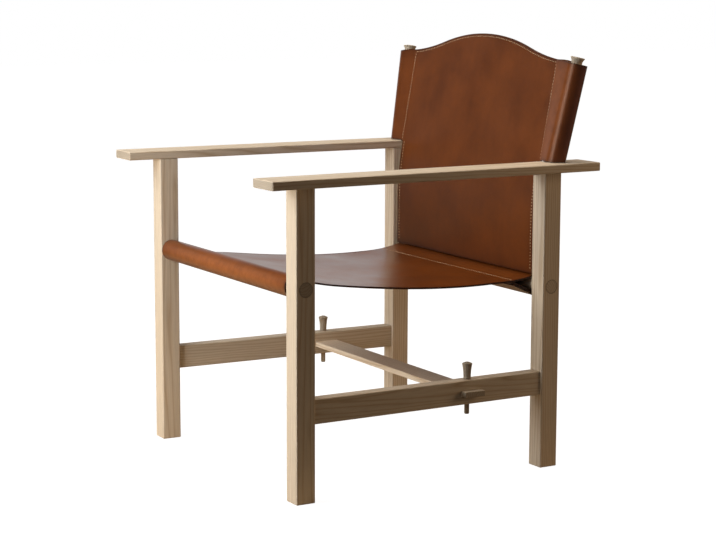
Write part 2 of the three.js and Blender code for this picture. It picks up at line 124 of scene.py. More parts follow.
lamps = {
    "key": {"place": (0.06, -1.3, 0.7), "aim": (0.0, 0.0, 0.42), "size": (0.34, 1.0),
            "watts": 12.3, "colour": "#ffffff"},
    "window": {"place": (-1.0, -1.3, 1.65), "aim": (0.0, 0.0, 0.45), "size": (0.8, 0.8),
               "watts": 10.5, "colour": "#ffffff"},
    "top": {"place": (-0.09, 0.1, 2.5), "aim": (-0.09, 0.1, 0.4), "size": (0.76, 1.5),
            "watts": 28.0, "colour": "#fff5e8"},
    "fill": {"place": (1.15, 1.35, 0.75), "aim": (0.2, 0.3, 0.35), "size": (0.9, 0.9),
             "watts": 5.4, "colour": "#ffdab4"},
}


def placeLamps():
    for name, lamp in lamps.items():
        data = bpy.data.lights.new(name, "AREA")
        data.shape = "RECTANGLE"
        data.size, data.size_y = lamp["size"]
        data.energy = lamp["watts"]
        data.color = linear(lamp["colour"])[:3]
        made = bpy.data.objects.new(name, data)
        made.location = lamp["place"]
        towards = Vector(lamp["aim"]) - Vector(lamp["place"])
        made.rotation_euler = towards.to_track_quat("-Z", "Y").to_euler()
        made.visible_glossy = False
        scene.collection.objects.link(made)


# The lamps don't show in gloss: what gloss sees of the studio is painted on the room
studio = {
    "ambient": "#2f2416",   # warm and low
    "frontRoom": 0.16,      # paler wall behind the key lamp
    "farWall": (-0.866, 0.5, 0.0),   # heading of the white wall
    "wall": [(0.3, 0.1), (0.62, 0.08), (0.8, 0.12), (0.88, 0.58), (0.965, 1.0)],   # away from it to facing it
    "wallTop": (0.31, 0.4, 0.02),    # where it ends above, and what is left there
    "card": ("#fff0dc", 6.5),        # softbox in front
    # its glow across, from right to left
    "cardFace": [(0.24, 0.0), (0.36, 0.14), (0.48, 0.4), (0.53, 1.0), (0.6, 1.0), (0.68, 0.0)],
    "reflector": (-0.857, -0.3, 0.42),   # a dim one, high on the right
    "reflectorGlow": 0.05,
    "floorGloss": (0.03, 0.6, 0.16),     # floor before the chair, far off on its right, on its left
    "floorBounce": ("#d3b994", "#2c241c"),   # under the chair, and on its left where the room is dark
}


# White all round to the camera; gloss sees the white wall on the far side only
def paintRoom():
    room = bpy.data.worlds.new("room")
    scene.world = room
    room.use_nodes = True
    tree = room.node_tree
    tree.nodes.clear()
    path = addNode(tree, "LightPath")
    heading = (addNode(tree, "TexCoord"), "Generated")
    apart = addNode(tree, "SeparateXYZ", None, {0: heading})
    farSide = addNode(tree, "VectorMath", {"operation": "DOT_PRODUCT", 1: studio["farWall"]}, {0: heading})
    turned = addNode(tree, "Math", {"operation": "MULTIPLY_ADD", 1: 0.5, 2: 0.5}, {0: (farSide, "Value")})
    wall = addNode(tree, "ValToRGB", {"stops": studio["wall"]}, {0: turned})
    low, high, left = studio["wallTop"]
    height = addNode(tree, "MapRange",
                     {**smooth, "From Min": low, "From Max": high, "To Min": 1.0, "To Max": left},
                     {"Value": (apart, "Z")})
    lowWall = addNode(tree, "Math", {"operation": "MULTIPLY"}, {0: wall, 1: height})
    aloft = addNode(tree, "VectorMath", {"operation": "DOT_PRODUCT", 1: studio["reflector"]}, {0: heading})
    reflector = addNode(tree, "MapRange",
                        {**smooth, "From Min": 0.92, "From Max": 0.98, "To Max": studio["reflectorGlow"]},
                        {"Value": (aloft, "Value")})
    around = addNode(tree, "Math", {"operation": "ADD"}, {0: lowWall, 1: reflector})
    ahead = addNode(tree, "VectorMath", {"operation": "DOT_PRODUCT", 1: (0.0, -1.0, 0.0)}, {0: heading})
    facing = addNode(tree, "MapRange", {**smooth, "From Min": 0.45, "From Max": 0.7},
                     {"Value": (ahead, "Value")})
    sideways = addNode(tree, "Math", {"operation": "MULTIPLY_ADD", 1: 0.5, 2: 0.5}, {0: (apart, "X")})
    card = addNode(tree, "ValToRGB", {"stops": studio["cardFace"]}, {0: sideways})
    onCard = addNode(tree, "Math", {"operation": "MULTIPLY"}, {0: card, 1: facing})
    tint, strength = studio["card"]
    softbox = [c * strength for c in linear(tint)[:3]] + [1]
    mirrored = addNode(tree, "Mix", {"data_type": "RGBA", "blend_type": "ADD", 7: softbox},
                       {0: onCard, 6: around})
    front = addNode(tree, "MapRange",
                    {**smooth, "From Min": 0.1, "From Max": 0.9, "To Max": studio["frontRoom"]},
                    {"Value": (ahead, "Value")})
    dim = addNode(tree, "Mix", {"data_type": "RGBA", "blend_type": "ADD", 0: 1.0, 6: studio["ambient"]},
                  {7: front})
    soft = addNode(tree, "Mix", {"data_type": "RGBA"},
                   {0: (path, "Is Glossy Ray"), 6: (dim, 2), 7: (mirrored, 2)})
    seen = addNode(tree, "Mix", {"data_type": "RGBA", 7: "#ffffff"},
                   {0: (path, "Is Camera Ray"), 6: (soft, 2)})
    sky = addNode(tree, "Background", {"Strength": 1.0}, {"Color": (seen, 2)})
    addNode(tree, "OutputWorld", None, {"Surface": sky})


# Matt white to the camera, warm below the chair to all other light, and glowing to gloss as a painted
# reflection of a lit floor
def layFloor():
    mesh = bpy.data.meshes.new("floor")
    half = 14.0
    corners = [(-half, -half, 0), (half, -half, 0), (half, half, 0), (-half, half, 0)]
    mesh.from_pydata(corners, [], [(0, 1, 2, 3)])
    floor = bpy.data.objects.new("floor", mesh)
    scene.collection.objects.link(floor)
    paint, tree, coords = newMaterial("studio floor, matt white paint")
    path = addNode(tree, "LightPath")
    place = (coords, "Object")
    apart = addNode(tree, "SeparateXYZ", None, {0: place})
    aside = addNode(tree, "MapRange", {**smooth, "From Min": 0.2, "From Max": 0.5}, {"Value": (apart, "X")})
    near, side = studio["floorBounce"]
    dull = addNode(tree, "Mix", {"data_type": "RGBA", 6: near, 7: side}, {0: aside})
    before, distant, beside = studio["floorGloss"]
    ahead = addNode(tree, "MapRange", {**smooth, "From Min": -0.3, "From Max": -0.9}, {"Value": (apart, "Y")})
    pool = addNode(tree, "Math", {"operation": "MULTIPLY", 1: before}, {0: ahead})
    far = addNode(tree, "MapRange", {**smooth, "From Min": -4.0, "From Max": -8.0, "To Max": distant},
                  {"Value": (apart, "X")})
    both = addNode(tree, "Math", {"operation": "ADD"}, {0: pool, 1: far})
    lit = addNode(tree, "Mix", {"data_type": "FLOAT", 3: beside}, {0: aside, 2: both})
    inGloss = addNode(tree, "Math", {"operation": "MULTIPLY"}, {0: lit, 1: (path, "Is Glossy Ray")})
    sheen = addNode(tree, "Emission", {"Color": "#ffffff"}, {"Strength": inGloss})
    matt = addNode(tree, "BsdfDiffuse", None, {"Color": (dull, 2)})
    bounce = addNode(tree, "AddShader", None, {0: matt, 1: sheen})
    away = addNode(tree, "VectorMath", {"operation": "LENGTH"}, {0: place})
    white = addNode(tree, "MapRange", {"From Min": 0.8, "From Max": 2.2, "To Min": 0.965, "To Max": 1.0},
                    {"Value": (away, "Value")})
    shade = addNode(tree, "BsdfDiffuse", {"Color": "#8a8a8a"})
    glow = addNode(tree, "Emission", {"Color": "#ffffff"}, {"Strength": white})
    shown = addNode(tree, "AddShader", None, {0: shade, 1: glow})
    mix = addNode(tree, "MixShader", None, {0: (path, "Is Camera Ray"), 1: bounce, 2: shown})
    addNode(tree, "OutputMaterial", None, {"Surface": mix})
    mesh.materials.append(paint)


placeCamera()
placeLamps()
paintRoom()
layFloor()
scene.view_settings.view_transform = "Standard"
print("camera, lamps and floor placed")


# Ash, planed and finished with soap: pale straight growth rings, coarse early wood, hardly any gloss
ash = {
    "pale": "#e9dcc8",
    "late": "#dfcfb8",
    "early": "#c2a988",
    "ringWidth": 4.2,       # mm, about twice the real ring so that it shows
    "ringWander": 22.0,     # mm that a ring strays
    "wanderOver": 34.0,     # mm from one bend of a ring to the next
    "streak": 55.0,         # mm, broad changes of tone
    "drawnOut": 0.07,       # both lie long along the grain
    "fibre": (0.9, 42.0),   # mm across and along, drawn coarse
    "roughness": 0.6,
}

# each board is sawn from its own place in the log: grain direction, place of the log's heart in mm,
# tone of its sides, and how much of that its ends keep, where open pores drink the soap
boards = {
    "left_front_leg": ("z", (70, 45, 0), 1.0, 0.66),
    "left_rear_leg": ("z", (-40, 80, 300), 0.98, 0.66),
    "right_front_leg": ("z", (85, -30, 700), 1.01, 0.66),
    "right_rear_leg": ("z", (-60, -70, 1200), 0.98, 0.66),
    "left_armrest": ("y", (20, 60, 150), 1.0, 0.66),
    "right_armrest": ("y", (-95, 30, 900), 1.0, 0.66),
    "left_side_stretcher": ("y", (60, 40, 500), 0.98, 0.66),
    "right_side_stretcher": ("y", (-50, 65, 1600), 0.84, 0.66),
    # its sides lighter: painted light on the top that the seat keeps in shade
    "cross_stretcher": ("x", (30, 90, 200), 1.16, 1.0),
    "left_locking_peg": ("z", (14, 9, 50), 0.56, 0.8),
    "right_locking_peg": ("z", (-12, 16, 90), 0.62, 0.8),
    "front_seat_rail": ("x", (25, 12, 400), 1.0, 0.6),
    "rear_seat_rail": ("x", (-18, 22, 800), 1.0, 0.86),
    "left_back_post": ("z", (20, 14, 30), 0.8, 0.66),
    "right_back_post": ("z", (-16, 22, 70), 0.8, 0.66),
}
# painted shade on the ends of the cross stretcher that stand out of the side stretchers
shadedEnds = {"cross_stretcher": (15.0, 0.5)}   # mm that stand out of the stretchers, and their tone
# painted shadow of the gap where a tenon ends in the leg: from that radius to that one in mm, and its tone
tenonGapShadows = {"front_seat_rail": (10.4, 12.2, 0.78), "rear_seat_rail": (10.4, 12.2, 0.68)}


def soapedAsh(node):
    made, tree, coords = newMaterial("soaped ash, planed, " + node.replace("_", " "))
    along, pith, tone, cutTone = boards[node]
    low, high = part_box(node)
    spin = {"x": (0, -math.pi / 2, 0), "y": (math.pi / 2, 0, 0), "z": (0, 0, 0)}[along]
    shift = Vector(pith) - Euler(spin).to_matrix() @ (Vector((low + high) / 2) * perMetre)
    plank = addNode(tree, "Mapping", {"Location": shift, "Rotation": spin, "Scale": [perMetre] * 3},
                    {"Vector": (coords, "Object")})
    # growth rings round the heart, drawn out along the grain
    drawn = addNode(tree, "Mapping", {"Scale": (1, 1, ash["drawnOut"])}, {"Vector": plank})
    wander = addNode(tree, "TexNoise", {"Scale": 1 / ash["wanderOver"], "Detail": 2.0}, {"Vector": drawn})
    across = addNode(tree, "VectorMath", {"operation": "MULTIPLY", 1: (1, 1, 0)}, {0: plank})
    fromHeart = addNode(tree, "VectorMath", {"operation": "LENGTH"}, {0: across})
    ringed = addNode(tree, "Math", {"operation": "MULTIPLY_ADD", 1: ash["ringWander"]},
                     {0: wander, 2: (fromHeart, "Value")})
    count = addNode(tree, "Math", {"operation": "DIVIDE", 1: ash["ringWidth"]}, {0: ringed})
    ring = addNode(tree, "Math", {"operation": "FRACT"}, {0: count})
    bands = addNode(tree, "ValToRGB",
                    {"stops": [(0.0, ash["early"]), (0.16, ash["late"]), (0.45, ash["pale"]),
                               (0.82, ash["late"]), (1.0, ash["early"])]}, {0: ring})
    soft = addNode(tree, "Mix", {"data_type": "RGBA", 0: 0.62, 6: ash["late"]}, {7: bands})
    # fibres and broad streaks
    thin, long = ash["fibre"]
    strands = addNode(tree, "Mapping", {"Scale": (1 / thin, 1 / thin, 1 / long)}, {"Vector": plank})
    fibre = addNode(tree, "TexNoise", {"Scale": 1.0, "Detail": 3.0, "Roughness": 0.6}, {"Vector": strands})
    fibreTone = addNode(tree, "MapRange", {"From Min": 0.3, "From Max": 0.7, "To Min": 0.88, "To Max": 1.07},
                        {"Value": fibre})
    broad = addNode(tree, "TexNoise", {"Scale": 1 / ash["streak"], "Detail": 2.0}, {"Vector": drawn})
    broadTone = addNode(tree, "MapRange", {"From Min": 0.3, "From Max": 0.7, "To Min": 0.9 * tone,
                                           "To Max": 1.06 * tone}, {"Value": broad})
    shade = addNode(tree, "Math", {"operation": "MULTIPLY"}, {0: fibreTone, 1: broadTone})
    # ends: darker end grain, painted gap shadow round the tenons, painted shade where a board stands out
    own = addNode(tree, "VectorMath", {"operation": "SUBTRACT", 1: pith}, {0: plank})
    section = addNode(tree, "VectorMath", {"operation": "MULTIPLY", 1: (1, 1, 0)}, {0: own})
    radius = addNode(tree, "VectorMath", {"operation": "LENGTH"}, {0: section})
    gapShadeFrom, gapShadeTo, gapShadeTone = tenonGapShadows.get(node, (999, 1000, 1.0))
    # painted shadow of the gap round the tenon's end
    rim = addNode(tree, "MapRange", {"From Min": gapShadeFrom, "From Max": gapShadeTo, "To Min": cutTone,
                                     "To Max": cutTone * gapShadeTone}, {"Value": (radius, "Value")})
    grain = {"x": (1, 0, 0), "y": (0, 1, 0), "z": (0, 0, 1)}[along]
    facing = addNode(tree, "VectorMath", {"operation": "DOT_PRODUCT", 1: grain}, {0: (coords, "Normal")})
    crossCut = addNode(tree, "Math", {"operation": "ABSOLUTE"}, {0: (facing, "Value")})
    endTone = addNode(tree, "MapRange", {"From Min": 0.75, "From Max": 0.95, "To Min": 1.0},
                      {"Value": crossCut, "To Max": rim})
    cut = addNode(tree, "Math", {"operation": "MULTIPLY"}, {0: shade, 1: endTone})
    # painted shade on the length that stands out
    reach, endShadeTone = shadedEnds.get(node, (0, 1.0))
    unshadedHalf = (high - low)["xyz".index(along)] * perMetre / 2 - reach
    length = addNode(tree, "SeparateXYZ", None, {0: own})
    fromMiddle = addNode(tree, "Math", {"operation": "ABSOLUTE"}, {0: (length, "Z")})
    paintedShade = addNode(tree, "MapRange", {"From Min": unshadedHalf - 1, "From Max": unshadedHalf + 1, "To Min": 1.0,
                                         "To Max": endShadeTone}, {"Value": fromMiddle})
    shadedCut = addNode(tree, "Math", {"operation": "MULTIPLY"}, {0: cut, 1: paintedShade})
    colour = addNode(tree, "VectorMath", {"operation": "SCALE"}, {0: (soft, 2), "Scale": shadedCut})
    bump = addNode(tree, "Bump", {"Strength": 0.25, "Distance": 0.0002}, {"Height": fibre})
    wood = addNode(tree, "BsdfPrincipled",
                   {"Roughness": ash["roughness"], "IOR": 1.5, "Specular IOR Level": 0.28},
                   {"Base Color": colour, "Normal": bump})
    addNode(tree, "OutputMaterial", None, {"Surface": wood})
    return made


for node in boards:
    finishes = frame["nodes"][node].data.materials
    finishes.clear()
    finishes.append(soapedAsh(node))
print("ash boards finished:", len(boards))


# Saddle leather, vegetable tanned and waxed: warm tan, smooth and half glossy, darker where edges
# are burnished and where shade is painted, lighter where it is bent and its oils move out and where light is
# painted
leather = {
    "tan": "#713a12",
    "deep": "#582b0c",
    "bentAndLit": "#a46030",
    "edge": ("#2c150b", "#3b1d0e"),
    "flesh": ("#6f4527", "#8a5b38"),
    "thread": ("#bb8c64", "#efd0aa"),
    "polish": {"seat": 0.33, "back": 0.36},   # roughness, the seat rubbed smoother
    "streak": {"seat": (18, 120, 60), "back": (16, 60, 130)},   # mm, drawn out the way it is pulled
    "cloud": 95.0,          # mm, broad unevenness of the dye
    "patch": 17.0,          # mm, patches where bends and painted light make it lighter
    "crease": 14.0,         # mm, slight waves of the surface
    "speck": 8.0,           # mm, small spots in the dye
    "pore": 0.9,            # mm between pores, drawn coarse
    "fleshFibre": 2.5,      # mm, drawn coarse
    "edgeFibre": 6.0,       # mm, drawn coarse
    "twist": 0.8,           # mm, of the thread
}


def saddleLeather(name):
    made, tree, coords = newMaterial("saddle leather, waxed grain side, " + name)
    skin = addNode(tree, "Mapping", {"Scale": [perMetre] * 3}, {"Vector": (coords, "Object")})
    cloud = addNode(tree, "TexNoise", {"Scale": 1 / leather["cloud"], "Detail": 5.0, "Roughness": 0.62},
                    {"Vector": skin})
    streak = [1 / size for size in leather["streak"][name]]
    drawn = addNode(tree, "Mapping", {"Scale": streak}, {"Vector": skin})
    veins = addNode(tree, "TexNoise", {"Scale": 1.0, "Detail": 3.0, "Roughness": 0.55}, {"Vector": drawn})
    speck = addNode(tree, "TexNoise", {"Scale": 1 / leather["speck"], "Detail": 4.0, "Roughness": 0.65},
                    {"Vector": skin})
    veined = addNode(tree, "Math", {"operation": "MULTIPLY_ADD", 1: 0.22}, {0: veins, 2: cloud})
    mottled = addNode(tree, "Math", {"operation": "MULTIPLY_ADD", 1: 0.22}, {0: speck, 2: veined})
    tone = addNode(tree, "ValToRGB", {"stops": [(0.5, leather["deep"]), (0.94, leather["tan"])]},
                   {0: mottled})
    patch = addNode(tree, "TexNoise", {"Scale": 1 / leather["patch"], "Detail": 5.0, "Roughness": 0.62},
                    {"Vector": skin})
    patchy = addNode(tree, "MapRange", {"From Min": 0.12, "From Max": 0.6}, {"Value": patch})
    bentAndLit = addNode(tree, "Attribute", {"attribute_name": "pullUp"})
    pulledAndLit = addNode(tree, "Math", {"operation": "MULTIPLY"}, {0: (bentAndLit, "Fac"), 1: patchy})
    lighter = addNode(tree, "Mix", {"data_type": "RGBA", 7: leather["bentAndLit"]}, {0: pulledAndLit, 6: tone})
    # burnished edges, and painted shade where the hides meet and in the back's low corner
    wornAndShaded = addNode(tree, "Attribute", {"attribute_name": "edgeWear"})
    colour = addNode(tree, "Mix", {"data_type": "RGBA", 7: leather["edge"][1]},
                     {0: (wornAndShaded, "Fac"), 6: (lighter, 2)})
    pores = addNode(tree, "TexVoronoi", {"Scale": 1 / leather["pore"]}, {"Vector": skin})
    crease = addNode(tree, "TexNoise", {"Scale": 1 / leather["crease"], "Detail": 4.0}, {"Vector": skin})
    relief = addNode(tree, "Math", {"operation": "MULTIPLY_ADD", 1: 1.4}, {0: crease, 2: (pores, "Distance")})
    bump = addNode(tree, "Bump", {"Strength": 0.08, "Distance": 0.0004}, {"Height": relief})
    polish = leather["polish"][name]
    rubbed = addNode(tree, "MapRange", {"From Min": 0.3, "From Max": 0.7, "To Min": polish - 0.04,
                                        "To Max": polish + 0.05}, {"Value": cloud})
    grain = addNode(tree, "BsdfPrincipled", {"IOR": 1.5, "Specular IOR Level": 0.45},
                    {"Base Color": (colour, 2), "Roughness": rubbed, "Normal": bump})
    addNode(tree, "OutputMaterial", None, {"Surface": grain})
    return made


# Flesh side of the hide: split fibre, dull and paler
def fleshSide():
    made, tree, coords = newMaterial("saddle leather, brushed flesh side")
    fibre = addNode(tree, "TexNoise",
                    {"Scale": perMetre / leather["fleshFibre"], "Detail": 5.0, "Roughness": 0.7},
                    {"Vector": (coords, "Object")})
    dark, pale = leather["flesh"]
    tone = addNode(tree, "ValToRGB", {"stops": [(0.3, dark), (0.7, pale)]}, {0: fibre})
    bump = addNode(tree, "Bump", {"Strength": 0.4, "Distance": 0.0004}, {"Height": fibre})
    split = addNode(tree, "BsdfPrincipled", {"Roughness": 0.85, "Specular IOR Level": 0.2},
                    {"Base Color": tone, "Normal": bump})
    addNode(tree, "OutputMaterial", None, {"Surface": split})
    return made


# Cut edge, dyed dark and rubbed smooth, its fibre just showing
def burnishedEdge():
    made, tree, coords = newMaterial("saddle leather, burnished cut edge")
    fibre = addNode(tree, "TexNoise", {"Scale": perMetre / leather["edgeFibre"], "Detail": 3.0},
                    {"Vector": (coords, "Object")})
    dark, pale = leather["edge"]
    tone = addNode(tree, "ValToRGB", {"stops": [(0.35, dark), (0.65, pale)]}, {0: fibre})
    rim = addNode(tree, "BsdfPrincipled", {"Roughness": 0.42, "Specular IOR Level": 0.4},
                  {"Base Color": tone})
    addNode(tree, "OutputMaterial", None, {"Surface": rim})
    return made


# Linen thread, waxed: pale tan with a dull shine, darker in its twist
def waxedThread():
    made, tree, coords = newMaterial("linen thread, waxed")
    twist = addNode(tree, "TexNoise", {"Scale": perMetre / leather["twist"], "Detail": 1.0},
                    {"Vector": (coords, "Object")})
    dark, pale = leather["thread"]
    tone = addNode(tree, "ValToRGB", {"stops": [(0.3, dark), (0.6, pale)]}, {0: twist})
    thread = addNode(tree, "BsdfPrincipled", {"Roughness": 0.5}, {"Base Color": tone})
    addNode(tree, "OutputMaterial", None, {"Surface": thread})
    return made


seatGrain = saddleLeather("seat")
backGrain = saddleLeather("back")
flesh = fleshSide()
edge = burnishedEdge()
linen = waxedThread()
print("leather materials mixed")


# Flat curves in (y, z), millimetres
def onCircle(centre, radius, degrees):
    turn = np.radians(degrees)
    return np.stack([centre[0] + radius * np.cos(turn), centre[1] + radius * np.sin(turn)], -1)


def bezier(a, b, c, d, t):
    t = np.asarray(t, float)[:, None]
    return (1 - t) ** 3 * a + 3 * (1 - t) ** 2 * t * b + 3 * (1 - t) * t ** 2 * c + t ** 3 * d


# headings from a circle's centre at which lines from a point touch it
def touches(centre, radius, point):
    reach = np.subtract(point, centre)
    opening = math.degrees(math.acos(radius / np.hypot(*reach)))
    heading = math.degrees(math.atan2(reach[1], reach[0]))
    return heading - opening, heading + opening


def runLength(path):
    return np.concatenate([[0], np.cumsum(np.linalg.norm(np.diff(path, axis=0), axis=1))])


def pointsAt(path, stations):
    run = runLength(path)
    return np.stack([np.interp(stations, run, path[:, k]) for k in range(path.shape[1])], -1)


# even 1 mm steps, with tight corners eased as thick leather bends
def eased(path, passes):
    run = runLength(path)
    path = pointsAt(path, np.linspace(0, run[-1], int(run[-1]) + 1))
    for step in range(passes):
        path[1:-1] += 0.5 * ((path[:-2] + path[2:]) / 2 - path[1:-1])
    return path


def smoothStep(t):
    t = np.clip(t, 0, 1)
    return t * t * (3 - 2 * t)


# stations along a run, close together round each seam so that its groove shows
def stationsFor(length, step, seams):
    near = np.concatenate([[0], np.cumsum([0.7, 0.9, 1.2, 1.6, 2.2])])
    fine = [s + sign * d for s in seams for d in near for sign in (-1, 1)]
    even = np.linspace(0, length, int(length / step) + 1)
    coarse = [s for s in even if all(abs(s - q) > 7.5 for q in seams)]
    return np.array(sorted(set(np.clip(fine + coarse, 0, length).round(4))))


# Leather sheets: rows of points in the middle of the hide
hide = 3.2                  # thickness, mm
edgeSteps = np.array([0, 0.9, 2.0, 3.4, 5.0, 7.2, 10.5, 16.0])   # mm in from a cut edge
between = 34                # points across from one edge's steps to the other's
endSeam = 4                 # edge step where sewing ends, and where the arch is sewn
sideSeam = 5                # edge step where the back's sides are sewn
farOff = 99.0               # mm, no edge near


# x across a sheet of that half width, closer together towards both edges
def spread(half):
    left = -half + edgeSteps
    return np.concatenate([left, np.linspace(left[-1], -left[-1], between)[1:-1], -left[::-1]])


def rowAt(x, y, z):
    return np.stack(np.broadcast_arrays(x, y, z), -1)


def gridFaces(rows, columns):
    faces = []
    for r in range(rows - 1):
        for c in range(columns - 1):
            a = r * columns + c
            faces.append((a, a + 1, a + columns + 1, a + columns))
    return faces


def surfaceNormals(grid):
    normal = np.cross(np.gradient(grid, axis=1), np.gradient(grid, axis=0))
    return normal / np.linalg.norm(normal, axis=2)[..., None]


# slow unevenness of a hide, -1.6 to 1.6
def swayAt(x, s):
    return np.sin(x / 61 + 0.6) * np.sin(s / 83 + 1.1) + 0.6 * np.sin(x / 37 - s / 51)


# how dark the burnished edge leaves the grain, by distance in mm
def burnish(fromEdge):
    return 0.75 * np.exp(-fromEdge / 2.2) + 0.25 * np.exp(-fromEdge / 12)


# thickened both ways, its cut edge rounded over
def cutSheet(name, points, faces, wearAndShade, bentAndLit, grain):
    mesh = bpy.data.meshes.new(name)
    mesh.from_pydata([tuple(p) for p in np.asarray(points) * mm], [], faces)
    for field, values in (("edgeWear", wearAndShade), ("pullUp", bentAndLit)):
        mesh.attributes.new(field, "FLOAT", "POINT").data.foreach_set("value", np.asarray(values, np.float32))
    mesh.shade_smooth()
    for finish in (grain, flesh, edge):
        mesh.materials.append(finish)
    sheet = bpy.data.objects.new(name, mesh)
    scene.collection.objects.link(sheet)
    thick = sheet.modifiers.new("thickness", "SOLIDIFY")
    thick.thickness = hide * mm
    thick.offset = 0
    thick.use_even_offset = True
    thick.material_offset = 1
    thick.material_offset_rim = 2
    rounded = sheet.modifiers.new("rounded edge", "BEVEL")
    rounded.width = 0.28 * hide * mm
    rounded.segments = 3
    rounded.limit_method = "ANGLE"
    rounded.angle_limit = math.radians(55)
    flatter = sheet.modifiers.new("face normals", "WEIGHTED_NORMAL")
    flatter.keep_sharp = True
    return sheet


def sizeOf(node):
    low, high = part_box(node)
    return np.array(low) * perMetre, np.array(high) * perMetre


# What the leather hangs on, read from the frame
frontLow, frontHigh = sizeOf("front_seat_rail")
rearLow, rearHigh = sizeOf("rear_seat_rail")
frontRail = ((frontLow + frontHigh) / 2)[1:]
rearRail = ((rearLow + rearHigh) / 2)[1:]
railRadius = (frontHigh[2] - frontLow[2]) / 2
legFrontLow = sizeOf("left_front_leg")[0]
legRearLow, legRearHigh = sizeOf("left_rear_leg")
armTop = sizeOf("left_armrest")[1][2]
legPitch = rearRail[0] - frontRail[0]


def betweenLegs(y):
    return np.interp(y, [frontRail[0], rearRail[0]], [legFrontLow[0], legRearLow[0]])


# Seat: one hide, looped round both rails and sewn to its own underside
seat = {
    "slack": 0.5,           # between rail and loop
    "frontSeam": 37.0,      # stitching, from each rail's axis
    "rearSeam": 52.0,
    "flap": 6.0,            # cut edge beyond the stitching
    "fall": 38.0,           # degrees at which it leaves the front roll
    "climb": 22.5,          # and comes onto the rear roll
    "keeps": (0.11, 0.15),  # how long it keeps these slopes, as shares of the way between the rails
    "frontClear": 3.0,      # from the legs
    "waist": 21.0,          # how far the sides are drawn in
    "waistFrom": (6.0, 60.0),    # behind the front rail, and over what length
    "rearInset": 6.0,
    "rearFrom": 0.2,        # share of the way over which it widens again
    "crease": 13.4,         # where the back comes down on it, ahead of the rear rail
    "paintedCreaseShade": (0.6, 6.0),    # painted shade there, and over what length
    "rowStep": 5.0,
    "groove": (0.45, 1.5),  # depth and width
    "sway": 0.5,            # unevenness of the hide
    "free": 60.0,           # from a seam to where it hangs free
    "pullUp": (0.78, 6.0, 39.0),        # lighter on the front roll, where it is bent, with a painted highlight band: how much, angle, spread in degrees
    "pullUpRear": (0.15, 34.0, 16.0),   # and before the back: how much, ahead of the rear rail, spread
    "sag": (5.5, 50.0, 32.0, 60.0),     # slack right-hand edge: depth, behind the front rail, length, width
    "curl": (1.0, 6.0),     # cut edges turn up by that much over that width
    "curlFrom": (40.0, 80.0),    # behind the front seam, and over what length
}
rollRadius = railRadius + seat["slack"] + hide


def seatLine(lift, t):
    fall, climb = math.radians(seat["fall"]), math.radians(seat["climb"])
    start = onCircle(frontRail, rollRadius + lift, 90 - seat["fall"])
    stop = onCircle(rearRail, rollRadius + lift, 90 + seat["climb"])
    down = np.array([math.cos(fall), -math.sin(fall)]) * seat["keeps"][0] * legPitch
    rise = np.array([math.cos(climb), math.sin(climb)]) * seat["keeps"][1] * legPitch
    return bezier(start, start + down, stop - rise, stop, t)


def atDepth(lift, y):
    line = seatLine(lift, np.linspace(0, 1, 800))
    return np.array([y, np.interp(y, line[:, 0], line[:, 1])])


def seatPath():
    middle = rollRadius - hide / 2
    under = -1.5 * hide
    frontSeam = atDepth(under, frontRail[0] + seat["frontSeam"])
    rearSeam = atDepth(under, rearRail[0] - seat["rearSeam"])
    frontEnd = atDepth(under, frontSeam[0] + seat["flap"])
    rearEnd = atDepth(under, rearSeam[0] - seat["flap"])
    frontTouch = touches(frontRail, middle, frontSeam)[0]
    rearTouch = touches(rearRail, middle, rearSeam)[1] - 360
    path = np.concatenate([
        [frontEnd, frontSeam],
        onCircle(frontRail, middle, np.linspace(frontTouch, -270 - seat["fall"], 80)),
        seatLine(-hide / 2, np.linspace(0, 1, 200))[1:-1],
        onCircle(rearRail, middle, np.linspace(90 + seat["climb"], rearTouch, 80)),
        [rearSeam, rearEnd],
    ])
    return eased(path, 6)


def halfSeat(y):
    frontHalf = betweenLegs(frontRail[0]) - seat["frontClear"]
    middleHalf = frontHalf - seat["waist"]
    rearHalf = betweenLegs(rearRail[0]) - seat["rearInset"]
    begins, length = seat["waistFrom"]
    front = 1 - smoothStep((y - frontRail[0] - begins) / length)
    widens = seat["rearFrom"] * legPitch
    rear = smoothStep((y - rearRail[0] + widens) / (widens - rollRadius))
    return middleHalf + (frontHalf - middleHalf) * front + (rearHalf - middleHalf) * rear


# lightening along the seat's middle line, from the bend and from painted light
def seatPullUpAndLight(line):
    amount, angle, width = seat["pullUp"]
    climb = np.degrees(np.arctan2(line[:, 1] - frontRail[1], frontRail[0] - line[:, 0]))
    onRoll = np.hypot(line[:, 0] - frontRail[0], line[:, 1] - frontRail[1]) < rollRadius + 2
    front = np.where(onRoll, amount * np.exp(-((climb - angle) / width) ** 2), 0)
    amount, ahead, width = seat["pullUpRear"]
    rear = amount * np.exp(-((line[:, 0] - rearRail[0] + ahead) / width) ** 2) * (line[:, 1] > rearRail[1])
    return front + rear


